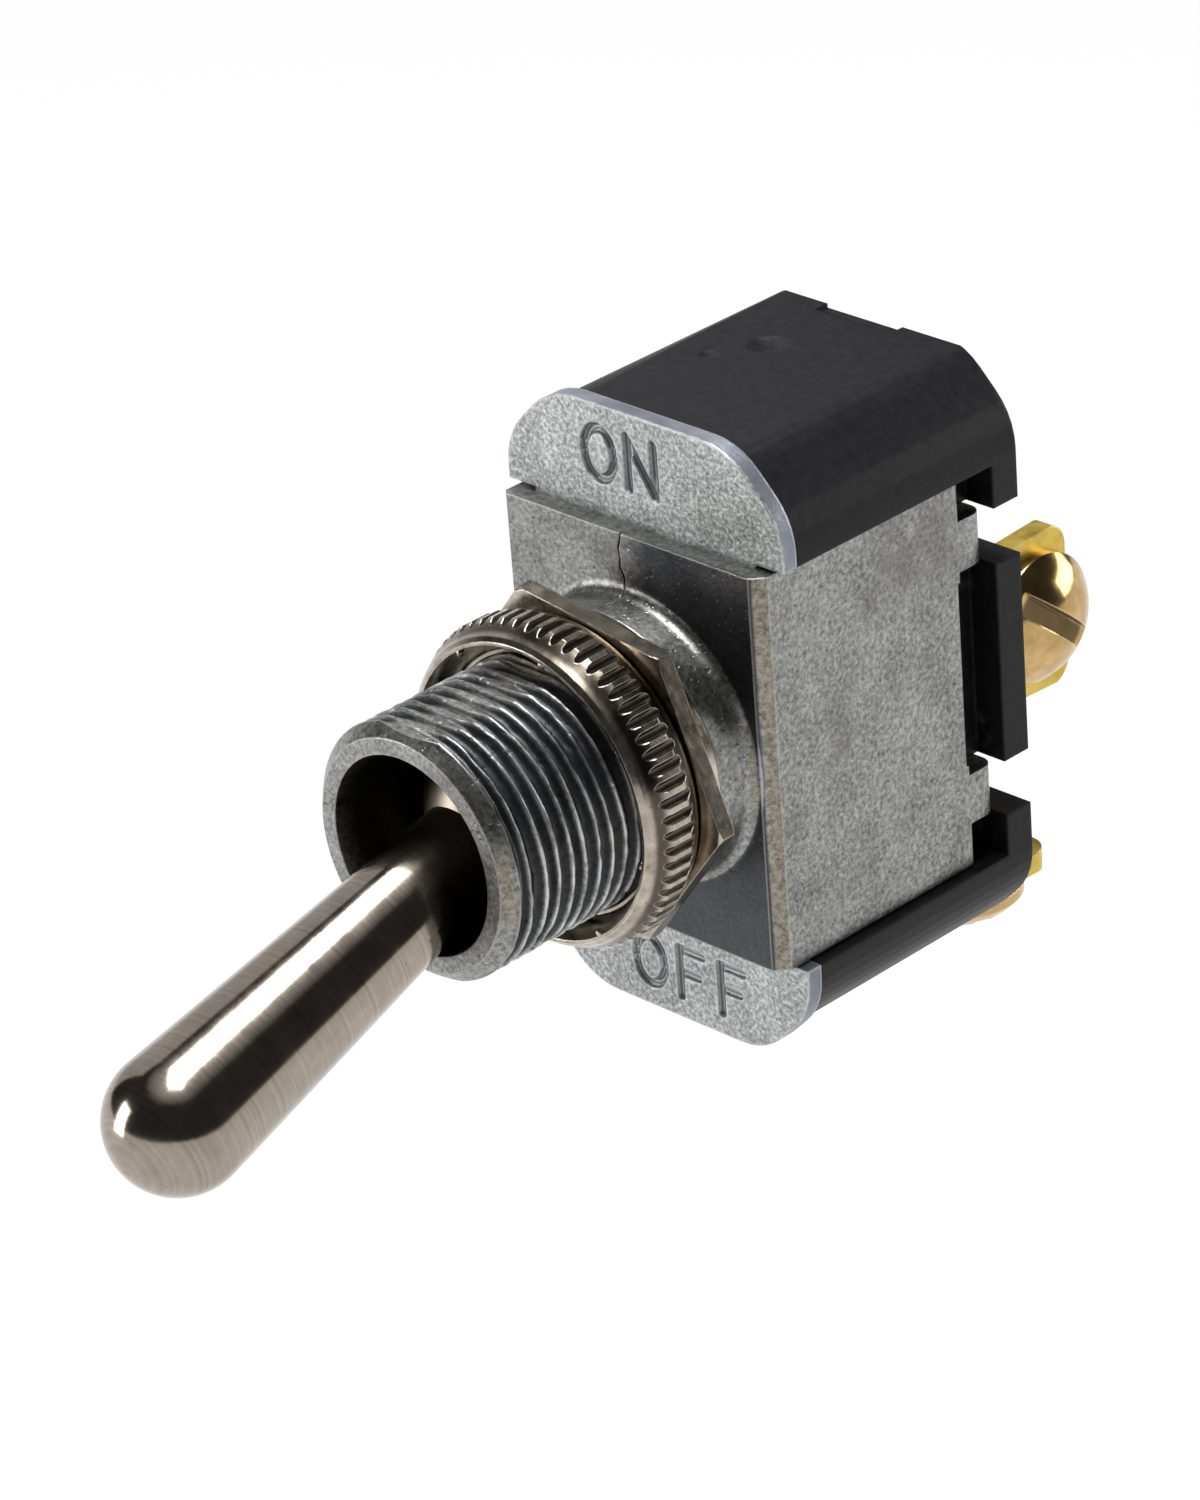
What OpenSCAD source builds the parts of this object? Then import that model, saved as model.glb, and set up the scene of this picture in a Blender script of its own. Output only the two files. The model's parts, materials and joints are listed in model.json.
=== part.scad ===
// Heavy-duty bat-handle toggle switch with screw terminals, single pole, off - on.
// Millimetres. The bushing axis is the Y axis and the bushing points along -Y. The origin is where
// that axis meets the shoulder that the panel hardware seats on. The lever swings up and down in the
// YZ plane, and the model is drawn with the handle down, which is off.

/* [Bushing] */
// Outside diameter of the bushing thread
thread_d = 11.9; // [11.5:0.1:12.3]
// Length of the bushing, from the shoulder to its front face
bushing_len = 11.9; // [9:0.1:14]
// Depth of the moulded flats along the top and bottom of the thread
thread_flat = 0.28; // [0.1:0.02:0.4]
// Diameter of the bore at the mouth
mouth_d = 9.2; // [8.8:0.1:9.8]
// Diameter of the bore where the lever's ball turns
seat_d = 8.4; // [8.2:0.1:8.8]
// Diameter of the shoulder behind the panel hardware
shoulder_d = 13.2; // [12.6:0.1:14.4]
// How far the shoulder stands out of the frame's front wall
shoulder_h = 2.1; // [1.2:0.1:3]

/* [Frame] */
// Width of the frame across its cheeks
frame_w = 15.2; // [14.8:0.1:17]
// Height of the frame
frame_h = 18.9; // [17.6:0.1:20]
// Thickness of the frame's wall and cheeks
frame_t = 1.0; // [0.8:0.05:1.2]
// Length of a cheek, from the front wall's face to its rear edge
cheek_len = 12.5; // [11:0.1:13]
// Width of the bevel down the frame's right front corner
corner_bevel = 0.6; // [0.3:0.1:0.9]
// Width of the bevel down the frame's left front corner
left_bevel = 0.2; // [0.1:0.05:0.9]
// How far the fingers' bends stand behind the cheeks' rear edges
finger_drop = 0.7; // [0.4:0.1:0.8]
// Width of a bent finger
finger_w = 2.4; // [1.8:0.1:2.6]
// Height of a finger's middle above and below the bushing axis
finger_z = 6.2; // [5.8:0.1:6.4]
// How far a finger reaches in over the back of the base
finger_reach = 3.0; // [2:0.1:4]

/* [Base and cover] */
// Width of the base and the cover plate
base_w = 16.3; // [15.9:0.1:18]
// Length of the cover plate
cover_l = 29.2; // [28.8:0.1:30]
// Length of the base where it meets the cover plate
base_l = 28.5; // [28.2:0.1:28.8]
// How much the base draws in towards its back, at each end
base_draft = 0.3; // [0.1:0.05:0.5]
// Depth of the base behind the cover plate
base_d = 14.0; // [13.6:0.1:16]
// Size of the sloping corners of the base and the cover plate
base_corner = 2.9; // [2.6:0.1:3.4]
// Radius where a sloping corner runs into a side
base_round = 3.5; // [1:0.1:4]
// Thickness of the cover plate
cover_t = 0.85; // [0.6:0.05:1]
// Thickness of the fibre liner
liner_t = 0.3; // [0.2:0.05:0.5]
// Thickness of the wall between a cheek and the cavity
cavity_wall = 1.3; // [1:0.1:1.6]
// Thickness of the wall between the cavity and each end
end_wall = 1.6; // [1.4:0.1:2.4]
// Thickness of the floor behind the cavity, under the fingers
floor_t = 1.4; // [1.2:0.1:1.6]

/* [Lever] */
// Swing of the lever to each side of the bushing axis
lever_swing = 17; // [14:0.5:17]
// Distance from the shoulder forward to the pivot
pivot_y = 5.5; // [5.2:0.1:6]
// Length of the handle, from the pivot to its tip
handle_len = 24.5; // [20:0.5:32]
// Diameter of the handle at its tip
handle_d = 6.35; // [5:0.05:7]
// Diameter of the handle where it leaves the ball
root_d = 4.5; // [3.6:0.1:4.6]
// Diameter of the ball
ball_d = 8.1; // [7.8:0.1:8.1]
// Diameter of the hollow stem behind the ball
stem_d = 5.0; // [4.6:0.1:5.1]
// Length of the stem, from the pivot to its open end
stem_len = 11.4; // [10.4:0.1:11.8]
// Diameter of the pivot pin
pin_d = 1.8; // [1.4:0.1:2]

/* [Contact mechanism] */
// Diameter of the plunger
plunger_d = 3.1; // [2.6:0.1:3.2]
// Radius of the plunger's nose
nose_r = 1.0; // [0.8:0.05:1.1]
// Length of the plunger's tail inside the stem
plunger_tail = 4.4; // [3.5:0.1:5]
// Room for the spring behind the plunger's tail
spring_room = 2.8; // [2:0.1:3.2]
// Diameter of the spring's wire
wire_d = 0.4; // [0.3:0.05:0.5]
// Number of turns in the spring
spring_turns = 6; // [4:1:8]
// Tilt of the rocker to each side of its middle
rocker_tilt = 7; // [5:0.5:7]
// Width of the rocker
rocker_w = 4.4; // [3.6:0.1:5]
// Thickness of the rocker
rocker_t = 0.8; // [0.6:0.05:0.9]
// Distance from the fulcrum forward to the bottom of the rocker's dish
dish_front = 1.5; // [1.3:0.1:1.7]
// Distance from the cavity's floor forward to the fulcrum
fulcrum_rise = 1.5; // [1.3:0.1:1.8]
// Radius of the ridge that the rocker tips on
fulcrum_r = 0.8; // [0.5:0.05:0.8]
// Thickness of the fulcrum bracket's plate
bracket_t = 0.8; // [0.6:0.05:0.9]
// Thickness of the bracket's two ears
ear_t = 0.8; // [0.6:0.05:0.9]
// Height of the ears in front of the fulcrum
ear_rise = 1.4; // [1:0.1:1.6]
// Width of the ears
ear_w = 3.2; // [2:0.1:3.4]
// Room between the rocker's ends and the ends of the cavity
wing_room = 0.65; // [0.5:0.05:1]
// Rim of the rocker round its contact
wing_rim = 0.3; // [0.2:0.05:0.5]
// Diameter of a silver contact
contact_d = 3.0; // [2.4:0.1:3.4]
// Thickness of a silver contact
contact_t = 0.6; // [0.4:0.05:0.7]

/* [Terminals and screws] */
// Thickness of the terminal strip
strip_t = 1.0; // [0.8:0.05:1.2]
// Width of a terminal's tab at its end
tab_w = 7.9; // [7.5:0.1:8.6]
// Length of a terminal's tab behind the base
tab_len = 5.15; // [5:0.05:6]
// Diameter of a terminal screw's thread
screw_d = 3.4; // [2.8:0.1:3.5]
// Length of a terminal screw under its head
screw_len = 4.4; // [3.5:0.1:5]
// Diameter of a terminal screw's head
head_d = 6.1; // [5.4:0.1:6.4]
// Height of a terminal screw's head
head_h = 1.95; // [1.6:0.05:2.2]
// How far the load terminal's screw is backed off from its tab
load_screw_out = 1.1; // [0:0.1:1.5]
// Turn of the slot in the common terminal's screw
common_slot_turn = 50; // [0:5:175]
// Turn of the slot in the load terminal's screw
load_slot_turn = 20; // [0:5:175]
// Length of the common terminal's foot
common_foot = 9.5; // [8.9:0.1:9.8]
// Length of the load terminal's foot
load_foot = 6.0; // [5.8:0.1:6.2]
// Distance from the bushing axis to the load terminal's middle, to the right
load_mid_x = 0.8; // [0:0.1:0.9]
// Diameter of the terminal rivets
rivet_d = 1.8; // [1.4:0.1:2.2]
// Diameter of the rivets' heads
rivet_head_d = 2.8; // [2.6:0.1:3.2]
// Thickness of the rivets' heads
rivet_head_t = 0.2; // [0.15:0.05:0.35]

/* [Panel hardware] */
// Hex nut, across flats
hex_af = 14.3; // [13.6:0.1:15]
// Hex nut, thickness with its washer face
hex_t = 1.6; // [1.2:0.1:2.4]
// Hex nut, thickness of the hexagon alone
hex_plate_t = 0.85; // [0.6:0.05:1.1]
// Hex nut, diameter of its round washer face
washer_face_d = 13.4; // [12.8:0.1:14]
// Turn of the hex nut about the bushing
hex_turn = -7.4; // [-30:0.1:30]
// Knurled nut, wall from the thread to its largest diameter
knurl_wall = 1.7; // [1.4:0.05:2.3]
// Knurled nut, fall of its barrel shape at each end
knurl_fall = 0.5; // [0.2:0.05:0.7]
// Knurled nut, thickness
knurl_t = 3.25; // [2.6:0.05:4]
// Knurled nut, number of grooves
knurl_n = 64; // [40:4:72]

/* [Clearances] */
// Gap round a pin or a shaft that turns or slides in its hole
fit_gap = 0.05; // [0.03:0.01:0.08]
// Gap between a nut's bore and the top of the bushing thread
nut_gap = 0.05; // [0.03:0.01:0.1]
// Gap between the frame and what it holds
seat_gap = 0.05; // [0.02:0.01:0.1]
// Gap that is left between two pieces that meet at the end of a stroke
stop_gap = 0.08; // [0.05:0.01:0.12]
// Gap round a moving piece that passes through a wall
pass_gap = 0.35; // [0.25:0.05:0.5]
// Gap between the plunger's nose and the rocker's dish
nose_gap = 0.1; // [0.08:0.01:0.14]
// Gap between a rivet's head and what stands beside it
head_gap = 0.1; // [0.05:0.01:0.2]
// Gap between a terminal screw's thread and the rivets' heads
shank_gap = 0.05; // [0.03:0.01:0.2]

/* [Hidden] */

round_fn = 64;
small_fn = 32;
eps = 0.01;
far = 40;

// Depths along the bushing axis, measured behind the shoulder
wall_y = shoulder_h;
wall_back_y = wall_y + frame_t;
cover_back_y = wall_back_y + cover_t;
base_back_y = cover_back_y + base_d;
cheek_end_y = wall_y + cheek_len;
finger_in_y = cheek_end_y + finger_drop;
finger_out_y = finger_in_y + frame_t;
floor_y = finger_in_y - floor_t;

// Half sizes
cheek_x = frame_w / 2;
cheek_in_x = cheek_x - frame_t;
frame_z = frame_h / 2;
base_x = base_w / 2;
base_z = base_l / 2;
cover_z = cover_l / 2;
neck_x = cheek_in_x - seat_gap;
shelf_z = frame_z + 0.15;
cavity_x = neck_x - cavity_wall;
cavity_z = base_z - end_wall;
slot_half = finger_w / 2 + 0.15;
block_y = finger_out_y + seat_gap;
thread_r = thread_d / 2;
flat_z = thread_r - thread_flat;

// Lever and plunger
ball_r = ball_d / 2;
stem_r = stem_d / 2;
pin_r = pin_d / 2;
pin_len = 2 * (seat_d / 2 + 0.8);
plunger_r = plunger_d / 2;
stem_bore_r = plunger_r + fit_gap;
plunger_back = stem_len - plunger_tail;
stem_bore_back = plunger_back - spring_room;
sweep_slope = tan(lever_swing);
sweep_half = stem_r / cos(lever_swing);

// Rocker and its fulcrum
fulcrum_y = floor_y - fulcrum_rise;
nose_reach = pivot_y + fulcrum_y - dish_front - nose_gap - nose_r;
// The dish keeps the same gap to the nose at the middle and at both ends of the swing
nose_mid_y = nose_reach - pivot_y - fulcrum_y;
nose_out_y = nose_reach * cos(lever_swing) - pivot_y - fulcrum_y;
nose_out_z = nose_reach * sin(lever_swing);
nose_end_y = nose_out_y * cos(rocker_tilt) - nose_out_z * sin(rocker_tilt);
nose_end_z = nose_out_y * sin(rocker_tilt) + nose_out_z * cos(rocker_tilt);
nose_fall = nose_mid_y - nose_end_y;
dish_r = (nose_fall * nose_fall + nose_end_z * nose_end_z) / (2 * nose_fall) + nose_r + nose_gap;
dish_z = nose_end_z + 0.7 * nose_r;
contact_face = 0.95;
wing_front = contact_face + contact_t + rocker_t;
wing_z = cavity_z - wing_room;
contact_z = wing_z - wing_rim - contact_d / 2;
ear_x = rocker_w / 2 + 0.15;
wing_pad_z = contact_z - contact_d / 2;
wing_drop = (contact_z + contact_d / 2) * sin(rocker_tilt);
load_face_y = fulcrum_y + wing_drop - contact_face * cos(rocker_tilt) + stop_gap;
load_head_y = load_face_y + contact_t;
stop_face_y = fulcrum_y + wing_drop - (contact_face + contact_t) * cos(rocker_tilt) + stop_gap;

// Terminals
strip_y = base_back_y;
tab_end_y = strip_y + tab_len;
common_face_x = base_x - 1.95;
load_face_z = base_z - 0.15;
rivet_r = rivet_d / 2;
rivet_head_r = rivet_head_d / 2;
screw_r = screw_d / 2;
rivet_z = fulcrum_r + head_gap + rivet_head_r;
foot_half = rivet_z + rivet_head_r;
screw_mid_y = strip_y + strip_t + rivet_head_t + shank_gap + screw_r;

// A corner list turned into an outline whose corners have the radius r
function unit(v) = v / norm(v);
function corner_arc(a, b, c, r, steps) =
    let (u = unit(a - b), w = unit(c - b),
         half = acos(max(-1, min(1, u * w))) / 2,
         mid = b + unit(u + w) * r / sin(half),
         start = b + u * r / tan(half) - mid,
         finish = b + w * r / tan(half) - mid,
         a0 = atan2(start[1], start[0]),
         turn = (atan2(finish[1], finish[0]) - a0 + 540) % 360 - 180)
    [for (i = [0:steps]) mid + r * [cos(a0 + turn * i / steps), sin(a0 + turn * i / steps)]];
function rounded(points, r, steps = 5) =
    let (n = len(points))
    [for (i = [0:n - 1]) each corner_arc(points[(i + n - 1) % n], points[i], points[(i + 1) % n], r, steps)];

// Upright rectangle with sloping corners
function case_outline(half_x, half_z, corner) = [
    [half_x, half_z - corner], [half_x - corner, half_z], [corner - half_x, half_z],
    [-half_x, half_z - corner], [-half_x, corner - half_z], [corner - half_x, -half_z],
    [half_x - corner, -half_z], [half_x, corner - half_z]];

// Draws a flat XZ outline as a slab between two depths
module slab(y0, y1) {
    translate([0, y1, 0]) rotate([90, 0, 0]) linear_extrude(y1 - y0) children();
}

// Block between two corners
module block(low, high) {
    translate(low) cube(high - low);
}

// Turns an outline of [radius, depth] points about the bushing axis
module turned(points) {
    rotate([-90, 0, 0]) rotate_extrude($fn = round_fn) polygon(points);
}

// Cylinder between two depths along the bushing axis
module along_y(r, y0, y1) {
    translate([0, y0, 0]) rotate([-90, 0, 0]) cylinder(r = r, h = y1 - y0, $fn = round_fn);
}

// Cylinder along X
module along_x(r, x0, x1) {
    translate([x0, 0, 0]) rotate([0, 90, 0]) cylinder(r = r, h = x1 - x0, $fn = round_fn);
}

// Places a lever piece: its own Z axis runs from the pivot back along the stem
module on_lever() {
    translate([0, -pivot_y, 0]) rotate([lever_swing, 0, 0]) rotate([-90, 0, 0]) children();
}

// Places a rocker piece: its own Y axis runs back from the fulcrum
module on_rocker() {
    translate([0, fulcrum_y, 0]) rotate([-rocker_tilt, 0, 0]) children();
}

// Opening that the swinging stem needs, as a slab between two depths
module stem_window(y0, y1, gap) {
    reach = (y1 + pivot_y) * sweep_slope + sweep_half + gap;
    half_x = stem_r + gap + 0.3;
    slab(y0 - eps, y1 + eps)
        union() {
            square([2 * half_x, 2 * (reach - half_x)], center = true);
            for (s = [-1, 1]) translate([0, s * (reach - half_x)]) circle(r = half_x, $fn = round_fn);
        }
}

// Bushing and shoulder as one turned body, with the flats down its top and bottom
module bushing_body() {
    bevel = 0.6;
    fillet = 0.6;
    shoulder_r = shoulder_d / 2;
    union() {
        intersection() {
            turned([[0, -bushing_len], [thread_r - bevel, -bushing_len], [thread_r, bevel - bushing_len],
                    [thread_r, eps], [0, eps]]);
            block([-far, -far, -flat_z], [far, far, flat_z]);
        }
        turned(concat([[0, 0], [shoulder_r - 0.15, 0], [shoulder_r, 0.15]],
                      [for (a = [0:15:90]) [shoulder_r + fillet * (1 - cos(a)), wall_y - fillet * (1 - sin(a))]],
                      [[shoulder_r + fillet, wall_y + eps], [0, wall_y + eps]]));
    }
}

// Bore of the bushing: wide mouth, seat for the ball, and a flare that the stem swings in
module bushing_bore() {
    flare_y = 2 - pivot_y;
    flare_r = (wall_back_y + pivot_y) * sweep_slope + sweep_half + pass_gap;
    turned([[0, -bushing_len - eps], [mouth_d / 2, -bushing_len - eps],
            [seat_d / 2, -pivot_y - ball_r - 0.3], [seat_d / 2, flare_y],
            [flare_r, wall_back_y + eps], [0, wall_back_y + eps]]);
    // Slots down the sides of the bore that the pivot pin slides in along
    slot_r = pin_r + fit_gap;
    slot_x = pin_len / 2 + fit_gap;
    translate([0, -pivot_y, 0]) along_x(slot_r, -slot_x, slot_x);
    block([-slot_x, -pivot_y, -slot_r], [slot_x, wall_back_y + eps, slot_r]);
}

// Folded wall and cheeks, as a channel that is open above and below
module frame_channel() {
    translate([0, 0, -frame_z]) linear_extrude(frame_h)
        difference() {
            polygon([[-cheek_x, cheek_end_y], [-cheek_x, wall_y + left_bevel],
                     [left_bevel - cheek_x, wall_y], [cheek_x - corner_bevel, wall_y],
                     [cheek_x, wall_y + corner_bevel], [cheek_x, cheek_end_y]]);
            translate([-cheek_in_x, wall_back_y]) square([2 * cheek_in_x, far]);
        }
}

// One finger, bent in over the back of the base
module finger(side, up) {
    outline = rounded([[cheek_in_x, cheek_end_y - 0.6], [cheek_x, cheek_end_y - 0.6],
                       [cheek_x, finger_out_y], [cheek_in_x - finger_reach, finger_out_y],
                       [cheek_in_x - finger_reach, finger_in_y], [cheek_in_x, finger_in_y]], 0.05, 1);
    scale([side, 1, 1]) translate([0, 0, up * finger_z - finger_w / 2])
        linear_extrude(finger_w)
            difference() {
                polygon(outline);
                translate([cheek_x, finger_out_y]) rotate(180) difference() {
                    translate([-eps, -eps]) square(0.7 + eps);
                    translate([0.7, 0.7]) circle(r = 0.7, $fn = small_fn);
                }
            }
}

module frame() {
    color([0.62, 0.63, 0.63])
        difference() {
            union() {
                bushing_body();
                frame_channel();
                for (side = [-1, 1], up = [-1, 1]) finger(side, up);
            }
            bushing_bore();
            // Shallow relief in each cheek's rear edge, between its two fingers
            notch_z = finger_z - finger_w / 2 - 0.5;
            for (side = [-1, 1])
                scale([side, 1, 1])
                    block([cheek_in_x - 1, cheek_end_y - 0.15, -notch_z], [cheek_x + 1, far, notch_z]);
        }
}

module case_plate(half_x, half_z, y0, y1) {
    slab(y0, y1) polygon(rounded(case_outline(half_x, half_z, base_corner), base_round));
}

// The two spaces beside the neck that the cheeks lie in
module cheek_spaces(y0, y1) {
    for (side = [-1, 1])
        scale([side, 1, 1]) block([neck_x, y0, -shelf_z], [far, y1, shelf_z]);
}

module cover_plate() {
    color([0.66, 0.67, 0.68])
        difference() {
            case_plate(base_x, cover_z, wall_back_y, cover_back_y);
            cheek_spaces(-far, far);
            stem_window(wall_back_y, cover_back_y, pass_gap);
        }
}

module liner_plate(gap, y0) {
    half_x = cavity_x + 0.6 - gap;
    half_z = cavity_z + 0.6 - gap;
    slab(y0, cover_back_y + liner_t)
        polygon(rounded([[half_x, half_z], [-half_x, half_z], [-half_x, -half_z], [half_x, -half_z]], 0.8));
}

module fibre_liner() {
    color([0.55, 0.42, 0.28])
        difference() {
            liner_plate(seat_gap, cover_back_y);
            stem_window(cover_back_y, cover_back_y + liner_t, pass_gap);
        }
}

module base() {
    draft_turn = atan(base_draft / base_d);
    color([0.11, 0.11, 0.12])
        difference() {
            union() {
                difference() {
                    case_plate(base_x, base_z, cover_back_y, base_back_y);
                    // Draft of the two ends
                    for (up = [-1, 1])
                        scale([1, 1, up]) translate([0, cover_back_y, base_z]) rotate([-draft_turn, 0, 0])
                            block([-far, -far, 0], [far, far, far]);
                    cheek_spaces(-far, block_y);
                    // Slots across the back for the fingers
                    for (up = [-1, 1])
                        block([-far, finger_in_y, up * finger_z - slot_half],
                              [far, far, up * finger_z + slot_half]);
                    // Cavity for the contacts, open to the front
                    slab(cover_back_y - eps, floor_y)
                        polygon(rounded([[cavity_x, cavity_z], [-cavity_x, cavity_z],
                                         [-cavity_x, -cavity_z], [cavity_x, -cavity_z]], 0.8));
                    // Rebate that the liner lies in
                    liner_plate(0, cover_back_y - eps);
                }
                // Pad that stops the rocker on the side with no contact
                translate([0, 0, contact_z]) along_y(contact_d / 2, stop_face_y, floor_y + eps);
            }
            // Holes for the rivets
            for (up = [-1, 1]) translate([0, 0, up * rivet_z]) along_y(rivet_r + fit_gap, floor_y - 1, far);
            translate([0, 0, -contact_z]) along_y(rivet_r + fit_gap, floor_y - 1, far);
            // Shallow dip in the middle of the upper rear edge
            block([-2.65, base_back_y - 0.8, base_z - base_draft - 0.2], [1.8, far, far]);
        }
}

module lever() {
    tip_z = handle_d / 2 - handle_len;
    root_z = -ball_r * 0.86;
    color([0.75, 0.71, 0.66])
        on_lever()
            difference() {
                union() {
                    sphere(r = ball_r, $fn = round_fn);
                    cylinder(r = stem_r, h = stem_len, $fn = round_fn);
                    translate([0, 0, tip_z]) sphere(r = handle_d / 2, $fn = round_fn);
                    translate([0, 0, tip_z])
                        cylinder(r1 = handle_d / 2, r2 = root_d / 2, h = root_z - tip_z, $fn = round_fn);
                    translate([0, 0, root_z - eps]) cylinder(r = root_d / 2, h = -root_z, $fn = round_fn);
                }
                translate([0, 0, stem_bore_back]) cylinder(r = stem_bore_r, h = far, $fn = round_fn);
                along_x(pin_r + fit_gap, -far, far);
            }
}

module pivot_pin() {
    color([0.6, 0.6, 0.62])
        translate([0, -pivot_y, 0]) along_x(pin_r, -pin_len / 2, pin_len / 2);
}

module plunger() {
    cone_z = nose_reach - 2.4;
    color([0.82, 0.74, 0.58])
        on_lever()
            union() {
                translate([0, 0, plunger_back])
                    cylinder(r = plunger_r, h = cone_z - plunger_back, $fn = round_fn);
                translate([0, 0, cone_z])
                    cylinder(r1 = plunger_r, r2 = nose_r, h = nose_reach - cone_z, $fn = round_fn);
                translate([0, 0, nose_reach]) sphere(r = nose_r, $fn = small_fn);
            }
}

// Coil: rings of a round wire swept along a helix
module coil(coil_r, wire_r, height, turns) {
    sides = 6;
    per_turn = 12;
    rings = turns * per_turn;
    lead = atan(height / turns / (2 * PI * coil_r));
    ring = [for (i = [0:rings]) let (a = 360 * i / per_turn)
        for (k = [0:sides - 1]) let (b = 360 * k / sides, u = wire_r * cos(b), v = wire_r * sin(b))
            [(coil_r + u) * cos(a) + v * sin(lead) * sin(a),
             (coil_r + u) * sin(a) - v * sin(lead) * cos(a),
             height * i / rings + v * cos(lead)]];
    skin = [for (i = [0:rings - 1], k = [0:sides - 1])
        let (a = i * sides + k, b = i * sides + (k + 1) % sides)
        each [[a, a + sides, b], [b, a + sides, b + sides]]];
    first = [for (k = [0:sides - 1]) k];
    last = [for (k = [sides - 1:-1:0]) rings * sides + k];
    polyhedron(points = ring, faces = concat(skin, [first, last]));
}

module plunger_spring() {
    wire_r = wire_d / 2;
    room = plunger_back - stem_bore_back;
    color([0.55, 0.55, 0.57])
        on_lever()
            translate([0, 0, stem_bore_back + wire_r + fit_gap])
                coil(stem_bore_r - wire_r - 0.1, wire_r, room - wire_d - 2 * fit_gap, spring_turns);
}

// Side view of the rocker: a dish that the plunger's nose rides in, a wing to each side, and a
// saddle behind the dish that rocks on the fulcrum
module rocker_profile() {
    mid = -(dish_front + dish_r);
    edge = asin(dish_z / dish_r);
    outer = dish_r + rocker_t;
    wing_rear = rocker_t - wing_front;
    saddle_z = outer * sin(edge / 4);
    difference() {
        polygon(concat(
            [[-wing_front, -wing_z], [-wing_front, -wing_pad_z]],
            [for (i = [-8:8]) [mid + dish_r * cos(edge * i / 8), dish_r * sin(edge * i / 8)]],
            [[-wing_front, wing_pad_z], [-wing_front, wing_z]],
            [[wing_rear, wing_z], [wing_rear, wing_pad_z]],
            [for (i = [8:-1:2]) [mid + outer * cos(edge * i / 8), outer * sin(edge * i / 8)]],
            [[-0.15, saddle_z], [-0.15, -saddle_z]],
            [for (i = [-2:-1:-8]) [mid + outer * cos(edge * i / 8), outer * sin(edge * i / 8)]],
            [[wing_rear, -wing_pad_z], [wing_rear, -wing_z]]));
        circle(r = fulcrum_r + fit_gap, $fn = small_fn);
    }
}

module rocker() {
    color([0.80, 0.62, 0.30])
        on_rocker()
            translate([-rocker_w / 2, 0, 0]) rotate([90, 0, 90])
                linear_extrude(rocker_w) rocker_profile();
}

module moving_contact() {
    color([0.86, 0.86, 0.85])
        on_rocker()
            translate([0, 0, -contact_z])
                along_y(contact_d / 2, -contact_face - contact_t, -contact_face);
}

module fulcrum_bracket() {
    color([0.80, 0.62, 0.30])
        difference() {
            union() {
                block([-ear_x - ear_t, floor_y - bracket_t, -foot_half],
                      [ear_x + ear_t, floor_y, foot_half]);
                block([-ear_x, fulcrum_y, -fulcrum_r], [ear_x, floor_y - eps, fulcrum_r]);
                translate([0, fulcrum_y, 0]) along_x(fulcrum_r, -ear_x, ear_x);
                for (s = [-1, 1])
                    scale([s, 1, 1])
                        block([ear_x, fulcrum_y - ear_rise, -ear_w / 2], [ear_x + ear_t, floor_y, ear_w / 2]);
            }
            for (up = [-1, 1]) translate([0, 0, up * rivet_z]) along_y(rivet_r + fit_gap, -far, far);
        }
}

// Rivet between two depths, with a head on each end
module rivet(y0, y1) {
    union() {
        along_y(rivet_r, y0, y1);
        along_y(rivet_head_r, y0 - rivet_head_t, y0);
        along_y(rivet_head_r, y1, y1 + rivet_head_t);
    }
}

module common_rivets() {
    color([0.78, 0.60, 0.28])
        for (up = [-1, 1])
            translate([0, 0, up * rivet_z]) rivet(floor_y - bracket_t, strip_y + strip_t);
}

module load_rivet() {
    color([0.78, 0.60, 0.28])
        translate([0, 0, -contact_z])
            union() {
                along_y(rivet_r, load_head_y, strip_y + strip_t);
                along_y(contact_d / 2, load_head_y, floor_y);
                along_y(rivet_head_r, strip_y + strip_t, strip_y + strip_t + rivet_head_t);
            }
}

module load_contact() {
    color([0.86, 0.86, 0.85])
        translate([0, 0, -contact_z]) along_y(contact_d / 2, load_face_y, load_head_y);
}

// Terminal bent out of one strip: a foot flat on the base and a tab that stands out behind it.
// Drawn with the tab's outer face on X = 0 and its middle on Z = 0.
module angle_strip(foot_len) {
    bend = 0.5;
    corner = 1.2;
    half = tab_w / 2;
    flare = atan((half - foot_half) / tab_len);
    difference() {
        union() {
            translate([0, 0, -half]) linear_extrude(tab_w)
                difference() {
                    union() {
                        translate([-foot_len, strip_y]) square([foot_len, strip_t]);
                        translate([-strip_t, strip_y]) square([strip_t, tab_len]);
                        translate([-strip_t - bend, strip_y + strip_t - eps]) square([bend + eps, bend]);
                    }
                    translate([-strip_t - bend, strip_y + strip_t + bend]) circle(r = bend, $fn = small_fn);
                    translate([0, strip_y]) difference() {
                        square(2 * bend, center = true);
                        translate([-bend, bend]) circle(r = bend, $fn = small_fn);
                    }
                }
        }
        // The tab widens from the foot to its end
        for (s = [-1, 1])
            scale([1, 1, s]) translate([0, strip_y, foot_half]) {
                rotate([flare, 0, 0]) block([-far, 0, 0], [far, far, far]);
                block([-far, -far, 0], [far, 0, far]);
            }
        for (s = [-1, 1])
            translate([0, tab_end_y, s * half]) difference() {
                cube([4 * strip_t, 2 * corner, 2 * corner], center = true);
                translate([0, -corner, -s * corner]) along_x(corner, -4 * strip_t, 4 * strip_t);
            }
        translate([0, screw_mid_y, 0]) along_x(screw_r + fit_gap, -2 * strip_t, strip_t);
    }
}

module common_terminal() {
    color([0.83, 0.68, 0.32])
        difference() {
            translate([common_face_x, 0, 0]) angle_strip(common_foot);
            for (up = [-1, 1]) translate([0, 0, up * rivet_z]) along_y(rivet_r + fit_gap, -far, far);
        }
}

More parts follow.
